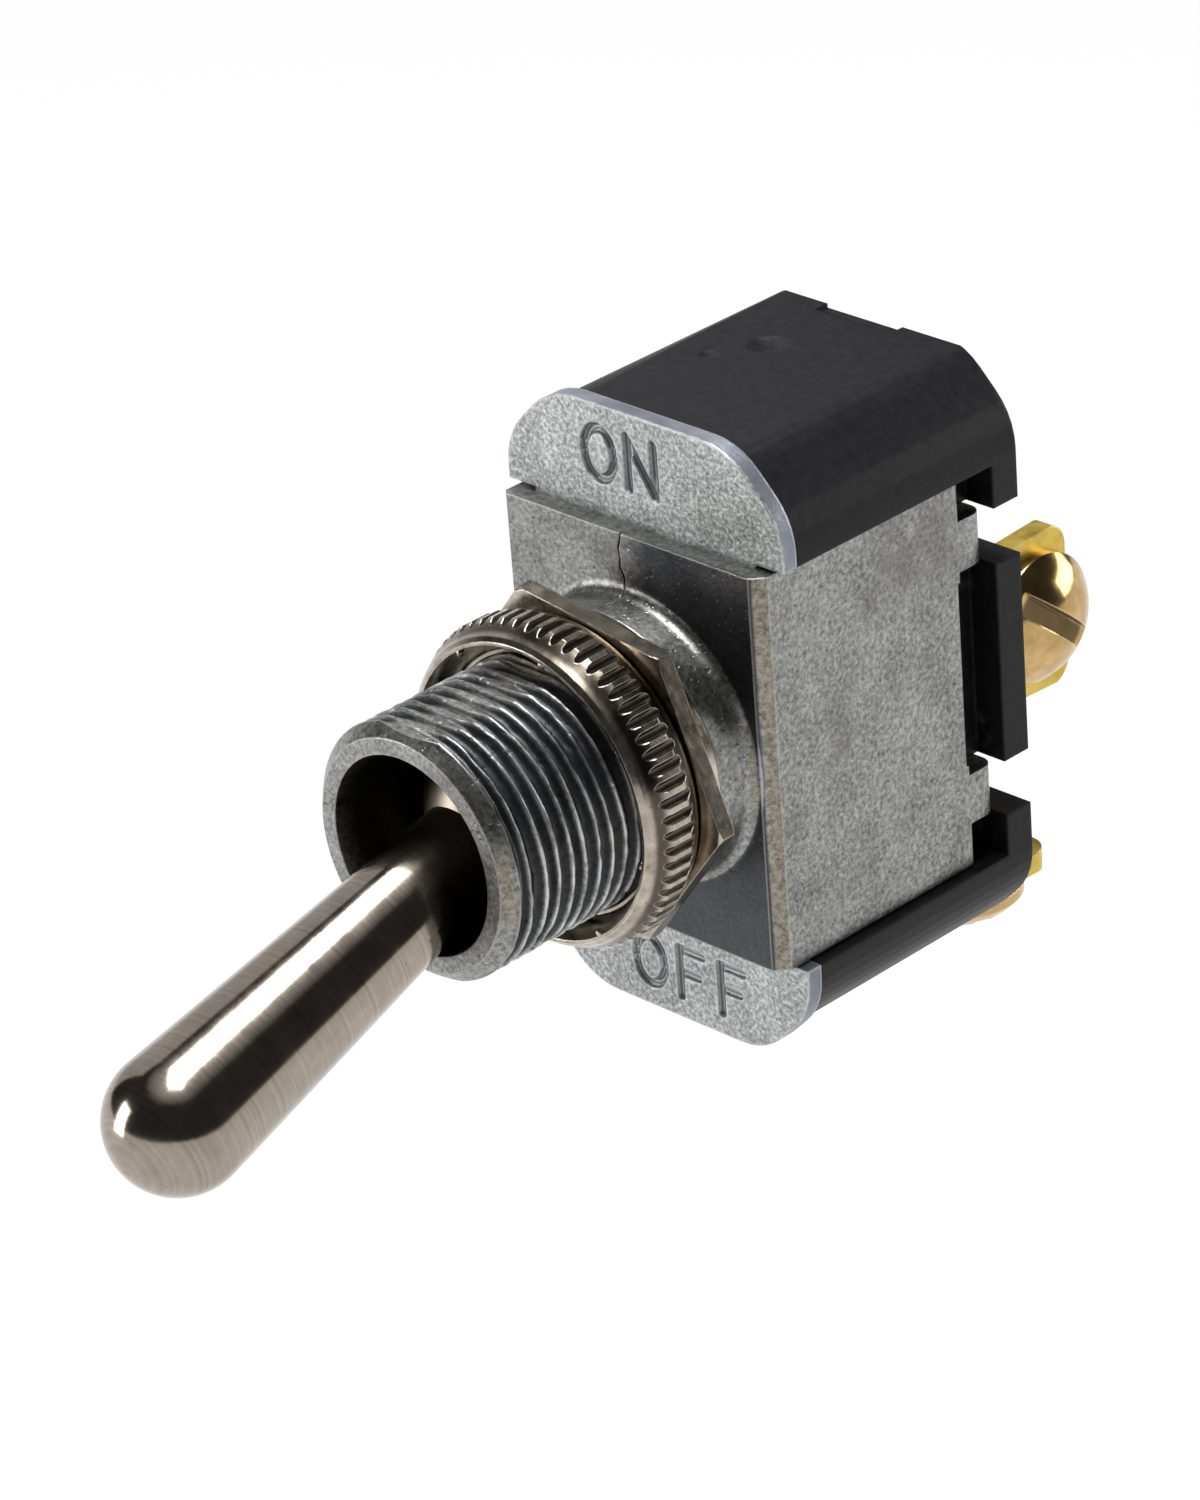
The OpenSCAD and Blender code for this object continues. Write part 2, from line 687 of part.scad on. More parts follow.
module load_terminal() {
    color([0.83, 0.68, 0.32])
        difference() {
            translate([load_mid_x, 0, -load_face_z]) rotate([0, 90, 0]) angle_strip(load_foot);
            translate([0, 0, -contact_z]) along_y(rivet_r + fit_gap, -far, far);
        }
}

// Slotted round-head screw along X, with the underside of its head on X = 0
module terminal_screw(slot_turn) {
    head_r = head_d / 2;
    rim = 0.5;
    slot_w = 1.0;
    slot_h = 1.0;
    dome_r = (head_r * head_r + pow(head_h - rim, 2)) / (2 * (head_h - rim));
    rotate([0, 90, 0])
        difference() {
            union() {
                cylinder(r = head_r, h = rim, $fn = round_fn);
                intersection() {
                    translate([0, 0, head_h - dome_r]) sphere(r = dome_r, $fn = round_fn);
                    translate([0, 0, rim - eps]) cylinder(r = head_r, h = head_h, $fn = round_fn);
                }
                translate([0, 0, -screw_len]) cylinder(r = screw_r, h = screw_len + eps, $fn = round_fn);
            }
            rotate(slot_turn) translate([-far / 2, -slot_w / 2, head_h - slot_h]) cube([far, slot_w, far]);
        }
}

module common_screw() {
    color([0.85, 0.71, 0.38])
        translate([common_face_x, screw_mid_y, 0]) terminal_screw(common_slot_turn);
}

module load_screw() {
    color([0.85, 0.71, 0.38])
        translate([load_mid_x, screw_mid_y, -load_face_z - load_screw_out])
            rotate([0, 90, 0]) terminal_screw(load_slot_turn);
}

module hex_nut() {
    corner_r = hex_af / 2 / cos(30);
    edge = 0.1;
    plate_y = hex_plate_t - hex_t;
    color([0.74, 0.71, 0.67])
        difference() {
            union() {
                intersection() {
                    translate([0, -hex_t, 0]) rotate([-90, 0, 0]) rotate([0, 0, -hex_turn])
                        cylinder(r = corner_r, h = hex_plate_t, $fn = 6);
                    turned([[0, -hex_t], [corner_r - 2 * edge, -hex_t], [corner_r, edge - hex_t],
                            [corner_r, plate_y - edge], [corner_r - 2 * edge, plate_y], [0, plate_y]]);
                }
                along_y(washer_face_d / 2, plate_y - eps, 0);
            }
            along_y(thread_r + nut_gap, -far, far);
        }
}

module knurled_nut() {
    back_y = -hex_t - 0.1;
    front_y = back_y - knurl_t;
    knurl_r = thread_r + knurl_wall;
    face_r = knurl_r - knurl_fall;
    lip_r = face_r - 0.35;
    groove_r = 0.24;
    band = (knurl_t - 1.4) / 2;
    color([0.76, 0.71, 0.64])
        difference() {
            turned([[0, front_y], [face_r - 0.2, front_y], [face_r, front_y + 0.2],
                    [knurl_r, front_y + 0.2 + band], [knurl_r, back_y - 0.2 - band],
                    [face_r, back_y - 0.2], [face_r - 0.2, back_y], [0, back_y]]);
            along_y(thread_r + nut_gap, -far, far);
            // Dished front
            turned([[0, front_y - eps], [lip_r, front_y - eps], [thread_r + 0.2, front_y + 1.3],
                    [0, front_y + 1.3]]);
            for (i = [0:knurl_n - 1])
                rotate([0, i * 360 / knurl_n, 0])
                    translate([knurl_r, 0, 0]) along_y(groove_r, front_y + 0.1, back_y - 0.1);
        }
}

frame();
cover_plate();
fibre_liner();
base();
lever();
pivot_pin();
plunger();
plunger_spring();
rocker();
moving_contact();
fulcrum_bracket();
common_rivets();
common_terminal();
common_screw();
load_terminal();
load_rivet();
load_contact();
load_screw();
hex_nut();
knurled_nut();
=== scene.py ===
"""Looks of the panel toggle switch: materials, the fine thread, engraving and wear, lights and camera.

Metres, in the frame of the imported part: the bushing points along -Y, +Z is up, +X is the terminal side.
"""

import json
import math

import bmesh
import bpy
from mathutils import Matrix, Vector, noise


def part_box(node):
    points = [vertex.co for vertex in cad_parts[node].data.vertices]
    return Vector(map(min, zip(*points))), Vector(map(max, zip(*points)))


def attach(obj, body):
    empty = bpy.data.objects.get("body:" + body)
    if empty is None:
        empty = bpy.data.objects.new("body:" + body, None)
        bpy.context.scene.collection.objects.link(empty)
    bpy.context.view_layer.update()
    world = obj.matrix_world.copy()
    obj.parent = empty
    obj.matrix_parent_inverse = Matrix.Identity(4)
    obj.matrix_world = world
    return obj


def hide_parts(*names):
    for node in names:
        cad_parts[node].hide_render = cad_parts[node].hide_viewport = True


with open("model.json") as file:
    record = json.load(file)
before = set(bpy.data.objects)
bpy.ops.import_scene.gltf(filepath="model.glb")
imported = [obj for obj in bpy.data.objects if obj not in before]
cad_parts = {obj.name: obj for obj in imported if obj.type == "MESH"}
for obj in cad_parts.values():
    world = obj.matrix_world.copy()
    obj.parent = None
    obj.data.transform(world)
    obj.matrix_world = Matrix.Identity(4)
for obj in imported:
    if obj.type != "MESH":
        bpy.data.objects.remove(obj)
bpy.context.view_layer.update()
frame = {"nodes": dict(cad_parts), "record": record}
nodes = frame["nodes"]
record = frame["record"]
MM = 0.001
UP = Vector((0, 0, 1))

# Places that repeat the part's own sizes, in millimetres
THREAD_R = 5.95
FLAT_Z = 5.67
PITCH = 25.4 / 32
BUSHING_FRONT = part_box("frame")[0].y / MM
COVER_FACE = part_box("cover_plate")[0].y / MM
COVER_REACH = 5.15
FRAME_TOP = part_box("cover_plate")[1].z / MM - COVER_REACH
WALL_FACE = 2.1
HEAD_DOME_R = 3.933
SLOT_DEPTH = 1.0
COMMON_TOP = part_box("common_screw")[1].x / MM
LOAD_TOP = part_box("load_screw")[0].z / MM
SCREW_MID = Vector((0.8, 20.9, 0))
LEVER_TILT = math.radians(17)
LEVER_AXIS = Vector((0, -math.cos(LEVER_TILT), -math.sin(LEVER_TILT)))


# ---------------------------------------------------------------- material helpers
class Mat:
    """A procedural material with short ways to add and join nodes."""

    def __init__(self, name):
        self.m = bpy.data.materials.new(name)
        self.m.use_nodes = True
        self.t = self.m.node_tree
        self.bsdf = next(n for n in self.t.nodes if n.type == "BSDF_PRINCIPLED")
        self.co = self.add("ShaderNodeTexCoord").outputs["Object"]

    def add(self, kind, **values):
        node = self.t.nodes.new(kind)
        for key, value in values.items():
            setattr(node, key, value)
        return node

    def put(self, socket, value):
        if hasattr(value, "is_linked"):
            self.t.links.new(value, socket)
        elif isinstance(value, tuple) and len(value) == 3 and len(socket.default_value) == 4:
            socket.default_value = (*value, 1)
        else:
            socket.default_value = value

    def set(self, **values):
        for key, value in values.items():
            self.put(self.bsdf.inputs[key.replace("_", " ")], value)

    def math(self, op, a, b=0.0, c=0.0):
        node = self.add("ShaderNodeMath", operation=op)
        for i, value in enumerate((a, b, c)):
            self.put(node.inputs[i], value)
        return node.outputs[0]

    def times(self, a, b):
        return self.math("MULTIPLY", a, b)

    def plus(self, a, b):
        return self.math("ADD", a, b)

    def dot(self, a, b):
        node = self.add("ShaderNodeVectorMath", operation="DOT_PRODUCT")
        self.put(node.inputs[0], a)
        self.put(node.inputs[1], b)
        return node.outputs["Value"]

    def away(self, point):
        """Distance from a point in millimetres of the part's frame, in metres."""
        node = self.add("ShaderNodeVectorMath", operation="DISTANCE")
        self.put(node.inputs[0], self.co)
        self.put(node.inputs[1], tuple(v * MM for v in point))
        return node.outputs["Value"]

    def part(self, axis):
        """One coordinate of the surface point, in millimetres."""
        node = self.add("ShaderNodeSeparateXYZ")
        self.put(node.inputs[0], self.co)
        return self.times(node.outputs[axis], 1 / MM)

    def radius(self):
        """Distance from the bushing axis, in millimetres."""
        x = self.part("X")
        z = self.part("Z")
        return self.math("SQRT", self.plus(self.times(x, x), self.times(z, z)))

    def noise(self, scale, detail=3.0, rough=0.55, vector=None):
        node = self.add("ShaderNodeTexNoise")
        self.put(node.inputs["Vector"], vector or self.co)
        self.put(node.inputs["Scale"], scale)
        self.put(node.inputs["Detail"], detail)
        self.put(node.inputs["Roughness"], rough)
        return node.outputs["Fac"]

    def lines(self, axis, scale, detail=4.0):
        """Noise that changes only along one direction, for turning and drawing marks."""
        node = self.add("ShaderNodeTexNoise", noise_dimensions="1D")
        self.put(node.inputs["W"], self.dot(self.co, tuple(axis)))
        self.put(node.inputs["Scale"], scale)
        self.put(node.inputs["Detail"], detail)
        return node.outputs["Fac"]

    def specks(self, scale, size):
        """1 inside small scattered spots, 0 elsewhere."""
        node = self.add("ShaderNodeTexVoronoi")
        self.put(node.inputs["Vector"], self.co)
        self.put(node.inputs["Scale"], scale)
        return self.span(node.outputs["Distance"], size, size * 0.5)

    def stretched(self, scale):
        node = self.add("ShaderNodeMapping")
        self.put(node.inputs["Vector"], self.co)
        node.inputs["Scale"].default_value = scale
        return node.outputs[0]

    def ramp(self, fac, *stops):
        node = self.add("ShaderNodeValToRGB")
        points = node.color_ramp.elements
        while len(points) < len(stops):
            points.new(0.5)
        for point, (place, colour) in zip(points, stops):
            point.position = place
            point.color = (*colour, 1)
        self.put(node.inputs[0], fac)
        return node.outputs[0]

    def span(self, value, start, end, low=0.0, high=1.0):
        node = self.add("ShaderNodeMapRange", interpolation_type="SMOOTHSTEP")
        for i, v in enumerate((value, start, end, low, high)):
            self.put(node.inputs[i], v)
        return node.outputs[0]

    def mix(self, fac, a, b):
        node = self.add("ShaderNodeMix", data_type="RGBA")
        self.put(node.inputs[0], fac)
        self.put(node.inputs[6], a)
        self.put(node.inputs[7], b)
        return node.outputs[2]

    def rounded(self, radius):
        """Normal that rounds the sharp edges by a radius in millimetres."""
        node = self.add("ShaderNodeBevel", samples=3)
        self.put(node.inputs["Radius"], radius * MM)
        return node.outputs[0]

    def bump(self, height, strength, depth, normal):
        """Bump of a depth in millimetres on top of another normal."""
        node = self.add("ShaderNodeBump")
        self.put(node.inputs["Strength"], strength)
        self.put(node.inputs["Distance"], depth * MM)
        self.put(node.inputs["Height"], height)
        self.put(node.inputs["Normal"], normal)
        return node.outputs[0]

    def edge(self, normal):
        """1 on a sharp edge that the rounded normal softens, 0 elsewhere."""
        flat = self.add("ShaderNodeNewGeometry").outputs["Normal"]
        return self.span(self.dot(normal, flat), 0.995, 0.93)


def smooth(obj, angle=35):
    """Shades a mesh smooth, apart from edges sharper than the angle."""
    bm = bmesh.new()
    bm.from_mesh(obj.data)
    for face in bm.faces:
        face.smooth = True
    for e in bm.edges:
        e.smooth = len(e.link_faces) == 2 and e.calc_face_angle(0) < math.radians(angle)
    bm.to_mesh(obj.data)
    bm.free()


# ---------------------------------------------------------------- materials
def zinc_material():
    """Die-cast zinc: speckled grey, pitted, painted shade in the thread's roots, the bore and the crack,
    painted highlights on the crests, wear and painted highlights on the edges, a painted dark reflection on
    the front wall, tan down one corner.
    """
    m = Mat("zinc")
    soft = m.rounded(0.12)
    edge_wear_and_highlight = m.edge(soft)
    grain = m.noise(4200, 4, 0.75)
    cloud = m.noise(420, 4, 0.7)
    blotch = m.noise(120, 4, 0.7)
    pits = m.specks(2300, 0.20)
    big_pits = m.specks(800, 0.13)
    base = m.ramp(m.plus(m.times(grain, 0.72), m.times(cloud, 0.28)),
                  (0.36, (0.10, 0.10, 0.10)), (0.49, (0.26, 0.26, 0.25)), (0.62, (0.45, 0.45, 0.43)))
    stain = m.span(blotch, 0.50, 0.66, 0.0, 0.5)
    base = m.mix(stain, base, (0.13, 0.125, 0.118))
    base = m.mix(m.times(m.plus(pits, big_pits), 0.35), base, (0.05, 0.045, 0.04))
    # Tan casting skin on the bevelled right front corner
    facing = m.dot(m.add("ShaderNodeNewGeometry").outputs["Normal"], (0.7071, -0.7071, 0.0))
    base = m.mix(m.span(facing, 0.96, 0.995, 0, 0.75), base,
                 m.ramp(grain, (0.35, (0.15, 0.13, 0.095)), (0.6, (0.36, 0.32, 0.25))))
    # Painted shade in the thread's roots and painted highlights on the crests, but no painted shade on the two
    # flats
    r = m.radius()
    y = m.part("Y")
    threaded = m.times(m.span(y, 0.1, -0.1), m.span(y, BUSHING_FRONT + 0.6, BUSHING_FRONT + 0.9))
    below_flat = m.span(m.math("ABSOLUTE", m.part("Z")), FLAT_Z - 0.02, FLAT_Z - 0.16)
    root = m.times(m.times(m.span(r, THREAD_R - 0.04, THREAD_R - 0.2), m.span(r, 5.3, 5.45)), threaded)
    root = m.times(root, below_flat)
    base = m.mix(m.times(root, 0.9), base, (0.022, 0.024, 0.029))
    crest = m.times(m.span(r, THREAD_R - 0.1, THREAD_R - 0.03), threaded)
    base = m.mix(m.times(crest, m.span(cloud, 0.40, 0.58, 0.0, 0.8)), base, (0.72, 0.73, 0.75))
    # Painted dark reflection: the whole wall is a little darker, and much darker between the crack and the tan
    # corner
    wall = m.times(m.span(y, WALL_FACE - 0.05, WALL_FACE - 0.01),
                   m.span(y, WALL_FACE + 0.15, WALL_FACE + 0.05))
    across = m.plus(m.part("X"), m.times(blotch, 3.0))
    base = m.mix(m.times(m.times(wall, m.span(across, 0.9, 2.6)), 0.86), base, (0.030, 0.033, 0.041))
    base = m.mix(m.times(wall, 0.3), base, (0.07, 0.073, 0.082))
    # Painted shade inside the crack
    in_y = m.times(m.span(y, WALL_FACE + 0.02, WALL_FACE + 0.07), m.span(y, WALL_FACE + 0.8, WALL_FACE + 0.75))
    in_x = m.span(m.math("ABSOLUTE", m.plus(m.part("X"), 0.5)), 0.5, 0.4)
    in_z = m.times(m.span(m.part("Z"), 7.0, 7.1), m.span(m.part("Z"), FRAME_TOP - 0.03, FRAME_TOP - 0.08))
    in_crack = m.times(in_y, m.times(in_x, in_z))
    base = m.mix(in_crack, base, (0.008, 0.008, 0.008))
    # Painted shade just inside the mouth of the bore
    bore = m.times(m.span(r, 4.62, 4.5), m.span(y, BUSHING_FRONT + 0.05, BUSHING_FRONT + 1.2))
    base = m.mix(m.times(bore, 0.9), base, (0.045, 0.041, 0.038))
    # Wear and painted highlights along the sharp edges
    base = m.mix(m.times(edge_wear_and_highlight, 0.55), base, (0.74, 0.74, 0.74))
    m.set(Base_Color=base, Metallic=0.95,
          Roughness=m.plus(0.22, m.plus(m.times(cloud, 0.24), m.times(root, 0.15))),
          Normal=m.bump(m.math("SUBTRACT", grain, m.times(m.plus(pits, big_pits), 0.8)), 0.55, 0.03, soft))
    return m


def cover_material():
    """Plated sheet: fine light stipple on the face, blue-grey sheared edge, painted shade in the engraving,
    wear and painted highlights on the edges.
    """
    m = Mat("cover_metal")
    soft = m.rounded(0.16)
    edge_wear_and_highlight = m.edge(soft)
    grain = m.noise(4800, 3, 0.7)
    cloud = m.noise(420, 3, 0.6)
    face = m.ramp(m.plus(m.times(grain, 0.8), m.times(cloud, 0.2)),
                  (0.36, (0.15, 0.16, 0.158)), (0.5, (0.34, 0.355, 0.35)), (0.64, (0.62, 0.64, 0.63)))
    side = m.ramp(cloud, (0.3, (0.17, 0.185, 0.22)), (0.7, (0.30, 0.32, 0.37)))
    depth = m.math("SUBTRACT", m.part("Y"), COVER_FACE)
    base = m.mix(m.span(depth, 0.10, 0.16), face, side)
    # Painted shade in the engraved letters
    cut = m.times(m.span(depth, 0.04, 0.2), m.span(m.math("ABSOLUTE", m.part("Z")), 13.9, 13.7))
    inset = m.span(m.math("ABSOLUTE", m.part("X")), 5.6, 5.4, 0, 0.75)
    base = m.mix(m.times(cut, inset), base, (0.035, 0.042, 0.042))
    # Wear and painted highlights along the sharp edges
    base = m.mix(m.times(edge_wear_and_highlight, 0.75), base, (0.93, 0.94, 0.95))
    m.set(Base_Color=base, Metallic=0.8, Roughness=m.plus(0.34, m.times(grain, 0.18)),
          Normal=m.bump(grain, 0.6, 0.035, soft))
    return m


def phenolic_material():
    """Black moulded phenolic: fine orange skin, a few pale scratches and a sink mark on top."""
    m = Mat("phenolic")
    soft = m.rounded(0.2)
    grain = m.noise(2200, 4, 0.6)
    wave = m.noise(160, 3, 0.5)
    scratch_line = m.noise(500, 2, 0.5, m.stretched((1, 0.02, 1)))
    scratch = m.times(m.span(scratch_line, 0.66, 0.70), m.span(wave, 0.52, 0.62))
    base = m.ramp(grain, (0.3, (0.004, 0.004, 0.005)), (0.75, (0.012, 0.012, 0.014)))
    base = m.mix(m.times(scratch, 0.25), base, (0.10, 0.10, 0.105))
    sink = m.away((-1.6, 13.0, 14.2))
    pit = m.away((-2.9, 10.6, 14.2))
    hollow = m.plus(m.span(sink, 0.0011, 0.0002), m.times(m.span(pit, 0.0005, 0.0001), 0.5))
    rough_spot = m.times(hollow, m.noise(1800, 3, 0.6))
    sunk = m.plus(m.times(hollow, 1.2), m.times(rough_spot, 1.2))
    height = m.math("SUBTRACT", m.times(grain, 0.10), sunk)
    m.set(Base_Color=base, Roughness=m.plus(0.38, m.times(wave, 0.16)),
          Normal=m.bump(height, 0.5, 0.16, soft))
    m.bsdf.inputs["Specular IOR Level"].default_value = 0.2
    return m


def nickel_material():
    """Bright nickel on the bat handle, with the turning marks round it showing through the plate."""
    m = Mat("nickel")
    marks = m.lines(LEVER_AXIS, 5200, 5)
    bands = m.lines(LEVER_AXIS, 700, 3)
    haze = m.noise(900, 4, 0.6)
    specks = m.specks(1300, 0.10)
    base = m.ramp(m.plus(m.times(marks, 0.5), m.times(haze, 0.5)),
                  (0.3, (0.27, 0.23, 0.19)), (0.7, (0.42, 0.365, 0.315)))
    base = m.mix(m.times(specks, 0.5), base, (0.12, 0.10, 0.09))
    root = m.span(m.dot(m.co, tuple(LEVER_AXIS)), 0.0115, 0.0085)
    base = m.mix(m.times(root, 0.7), base, (0.24, 0.20, 0.15))
    rough = m.plus(0.06, m.plus(m.times(haze, 0.13), m.times(bands, 0.03)))
    plain = m.add("ShaderNodeNewGeometry").outputs["Normal"]
    m.set(Base_Color=base, Metallic=1.0, Roughness=m.plus(rough, m.times(root, 0.25)),
          Normal=m.bump(m.plus(m.times(marks, 0.25), haze), 0.22, 0.006, plain))
    return m


def hardware_material():
    """Nickel-plated nuts: warm, with painted shade in the grooves, and bright on the edges with wear and a
    painted highlight.
    """
    m = Mat("nickel_hardware")
    soft = m.rounded(0.07)
    edge_wear_and_highlight = m.edge(soft)
    haze = m.noise(1500, 4, 0.65)
    cloud = m.noise(240, 3, 0.5)
    base = m.ramp(m.plus(m.times(haze, 0.5), m.times(cloud, 0.5)),
                  (0.34, (0.22, 0.185, 0.14)), (0.5, (0.42, 0.365, 0.30)), (0.66, (0.62, 0.56, 0.48)))
    # Painted shade at the bottoms of the knurl grooves
    groove = m.times(m.span(m.radius(), 7.62, 7.44), m.span(m.radius(), 7.16, 7.3))
    between = m.times(m.span(m.part("Y"), -4.75, -4.4), m.span(m.part("Y"), -1.9, -2.2))
    base = m.mix(m.times(m.times(groove, between), 0.85), base, (0.045, 0.035, 0.028))
    base = m.mix(m.times(m.specks(1500, 0.14), 0.5), base, (0.12, 0.10, 0.07))
    # Wear and painted highlights along the sharp edges
    base = m.mix(m.times(edge_wear_and_highlight, 0.6), base, (0.93, 0.89, 0.82))
    m.set(Base_Color=base, Metallic=1.0, Roughness=m.plus(0.11, m.times(haze, 0.2)),
          Normal=m.bump(haze, 0.25, 0.012, soft))
    return m


def brass_material():
    """Stamped strip brass, yellow and slightly mottled."""
    m = Mat("terminal_brass")
    soft = m.rounded(0.12)
    edge_wear_and_highlight = m.edge(soft)
    haze = m.noise(1200, 4, 0.6)
    cloud = m.noise(220, 3, 0.5)
    base = m.ramp(m.plus(m.times(haze, 0.5), m.times(cloud, 0.5)),
                  (0.3, (0.42, 0.28, 0.04)), (0.5, (0.64, 0.46, 0.09)), (0.7, (0.78, 0.60, 0.17)))
    # Wear and painted highlights along the sharp edges
    base = m.mix(m.times(edge_wear_and_highlight, 0.5), base, (0.98, 0.87, 0.48))
    m.set(Base_Color=base, Metallic=1.0, Roughness=m.plus(0.26, m.times(haze, 0.2)),
          Normal=m.bump(haze, 0.3, 0.012, soft))
    return m


def screw_material():
    """Turned and polished brass."""
    m = Mat("screw_brass")
    soft = m.rounded(0.1)
    edge_wear_and_highlight = m.edge(soft)
    haze = m.noise(1000, 4, 0.6)
    base = m.ramp(haze, (0.3, (0.42, 0.27, 0.10)), (0.7, (0.64, 0.45, 0.20)))
    # Painted shade in the two slots
    common_mid = (COMMON_TOP - HEAD_DOME_R, SCREW_MID.y, 0)
    load_mid = (SCREW_MID.x, SCREW_MID.y, LOAD_TOP + HEAD_DOME_R)
    rim, deep = (HEAD_DOME_R - 0.07) * MM, (HEAD_DOME_R - 0.3) * MM
    slot = m.plus(
        m.times(m.span(m.away(common_mid), rim, deep), m.span(m.part("X"), COMMON_TOP - SLOT_DEPTH - 0.05,
                                                              COMMON_TOP - SLOT_DEPTH - 0.02)),
        m.times(m.span(m.away(load_mid), rim, deep), m.span(m.part("Z"), LOAD_TOP + SLOT_DEPTH + 0.05,
                                                            LOAD_TOP + SLOT_DEPTH + 0.02)))
    base = m.mix(m.times(slot, 0.85), base, (0.05, 0.03, 0.012))
    # Wear and painted highlights along the sharp edges
    base = m.mix(m.times(edge_wear_and_highlight, 0.6), base, (0.98, 0.84, 0.52))
    m.set(Base_Color=base, Metallic=1.0, Roughness=m.plus(0.10, m.times(haze, 0.12)),
          Normal=m.bump(haze, 0.12, 0.008, soft))
    return m


def plain_material(name, dark, light, rough, metallic=1.0):
    """Two-tone material for the pieces inside."""
    m = Mat(name)
    haze = m.noise(1200, 3, 0.6)
    m.set(Base_Color=m.ramp(haze, (0.3, dark), (0.7, light)), Metallic=metallic,
          Roughness=m.plus(rough, m.times(haze, 0.1)), Normal=m.rounded(0.06))
    return m


SLOT_MATERIALS = {
    "zinc": zinc_material(),
    "cover_metal": cover_material(),
    "fibre": plain_material("fibre", (0.16, 0.09, 0.04), (0.25, 0.15, 0.07), 0.7, 0.0),
    "phenolic": phenolic_material(),
    "nickel": nickel_material(),
    "steel_pin": plain_material("steel_pin", (0.42, 0.42, 0.43), (0.58, 0.58, 0.59), 0.25),
    "brass_inner": plain_material("brass_inner", (0.58, 0.42, 0.16), (0.76, 0.58, 0.27), 0.3),
    "spring_steel": plain_material("spring_steel", (0.36, 0.36, 0.37), (0.50, 0.50, 0.52), 0.25),
    "silver": plain_material("silver", (0.76, 0.76, 0.75), (0.88, 0.88, 0.87), 0.28),
    "terminal_brass": brass_material(),
    "screw_brass": screw_material(),
    "nickel_hardware": hardware_material(),
}
slot_of = {s["node"]: s["material_slot"] for s in record["subparts"]}
for name, obj in nodes.items():
    obj.data.materials.clear()
    obj.data.materials.append(SLOT_MATERIALS[slot_of[name]].m)


# ---------------------------------------------------------------- mesh helpers
def add_object(name, bm, material):
    mesh = bpy.data.meshes.new(name)
    bmesh.ops.recalc_face_normals(bm, faces=bm.faces)
    bm.to_mesh(mesh)
    bm.free()
    obj = bpy.data.objects.new(name, mesh)
    bpy.context.scene.collection.objects.link(obj)
    if material:
        mesh.materials.append(material.m)
    return obj


def welded_copy(node):
    """A bmesh of a CAD node with its doubled vertices joined."""
    bm = bmesh.new()
    bm.from_mesh(nodes[node].data)
    bmesh.ops.remove_doubles(bm, verts=bm.verts, dist=1e-7)
    return bm


def carve(obj, cutter):
    """Cuts one mesh out of another and drops the cutter."""
    cut = obj.modifiers.new("cut", "BOOLEAN")
    cut.operation = "DIFFERENCE"
    cut.solver = "EXACT"
    cut.use_self = True
    cut.object = cutter
    bpy.context.view_layer.update()
    done = obj.evaluated_get(bpy.context.evaluated_depsgraph_get())
    mesh = bpy.data.meshes.new_from_object(done)
    obj.modifiers.clear()
    obj.data = mesh
    bpy.data.objects.remove(cutter)


def add_capsule(bm, a, b, radius, steps=10):
    """Rounded bar between two points, all in millimetres."""
    a, b = Vector(a) * MM, Vector(b) * MM
    turn = (b - a).to_track_quat("Z", "Y").to_matrix().to_4x4()
    length = (b - a).length
    rows = []
    half = steps // 2
    for end, start in ((0, -90), (length, 0)):
        for k in range(half + 1):
            tilt = math.radians(start + 90 * k / half)
            r = radius * MM * math.cos(tilt)
            z = end + radius * MM * math.sin(tilt)
            if r < 1e-9:
                rows.append([bm.verts.new(a + turn @ Vector((0, 0, z)))])
            else:
                rows.append([bm.verts.new(a + turn @ Vector((r * math.cos(2 * math.pi * i / steps),
                                                             r * math.sin(2 * math.pi * i / steps), z)))
                             for i in range(steps)])
    for low, high in zip(rows, rows[1:]):
        for i in range(steps):
            j = (i + 1) % steps
            ring = [low[i % len(low)], low[j % len(low)], high[j % len(high)], high[i % len(high)]]
            bm.faces.new(list(dict.fromkeys(ring)))


# ---------------------------------------------------------------- cover plate with its engraving
LETTER_H = 2.4
LETTER_W = 1.75
LETTER_GAP = 0.75
STROKE_R = 0.27
STROKE_LIFT = 0.02
LETTERS = {
    "O": [[(0.5 + 0.5 * math.sin(a), 0.5 + 0.5 * math.cos(a))
           for a in [math.radians(18 * i) for i in range(21)]]],
    "N": [[(0.05, 0), (0.05, 1), (0.95, 0), (0.95, 1)]],
    "F": [[(0.12, 0), (0.12, 1), (0.9, 1)], [(0.12, 0.52), (0.75, 0.52)]],
}


def engrave(bm, word, mid_x, mid_z):
    """Adds the cutters for a word, as a round-nosed tool leaves it."""
    width = len(word) * LETTER_W + (len(word) - 1) * LETTER_GAP
    for i, letter in enumerate(word):
        left = mid_x - width / 2 + i * (LETTER_W + LETTER_GAP)
        for stroke in LETTERS[letter]:
            points = [(left + u * LETTER_W, COVER_FACE - STROKE_LIFT, mid_z + (v - 0.5) * LETTER_H)
                      for u, v in stroke]
            for a, b in zip(points, points[1:]):
                add_capsule(bm, a, b, STROKE_R)


cover = add_object("cover_plate_engraved", welded_copy("cover_plate"), SLOT_MATERIALS["cover_metal"])
letters = bmesh.new()
engrave(letters, "ON", -1.2, 12.3)
engrave(letters, "OFF", 0.9, -12.3)
carve(cover, add_object("letters", letters, None))
smooth(cover)
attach(cover, "housing")
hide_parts("cover_plate")


